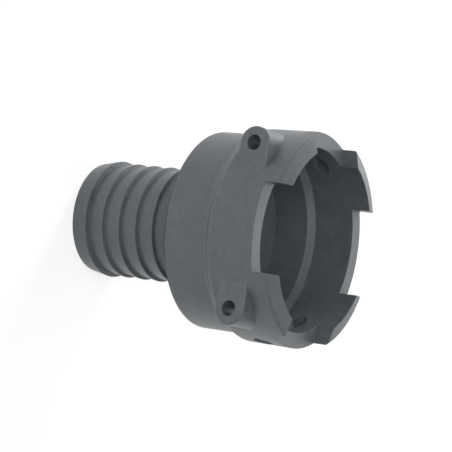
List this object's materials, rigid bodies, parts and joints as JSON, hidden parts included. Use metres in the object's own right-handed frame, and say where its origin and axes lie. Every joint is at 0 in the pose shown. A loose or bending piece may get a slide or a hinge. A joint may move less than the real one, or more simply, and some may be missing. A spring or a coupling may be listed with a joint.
{
  "type": "straight hose connector",
  "caption": "Straight moulded plastic connector with a barbed hose tail and a round socket whose rim has tabs, gaps and side ears for a locking clip.",
  "frame": {"origin": "centre of the end face of the hose tail, on which the connector stands", "axes": "+Z along the axis from the hose tail to the mouth of the socket, -Y toward the flat faces of the clip ears, +X from one ear to the other"},
  "size_m": [0.096, 0.096, 0.1185],
  "materials": {
    "grey_plastic": "fine moulded grain, satin"
  },
  "bodies": {
    "root": {"connector_body": "grey_plastic"}
  },
  "joints": []
}
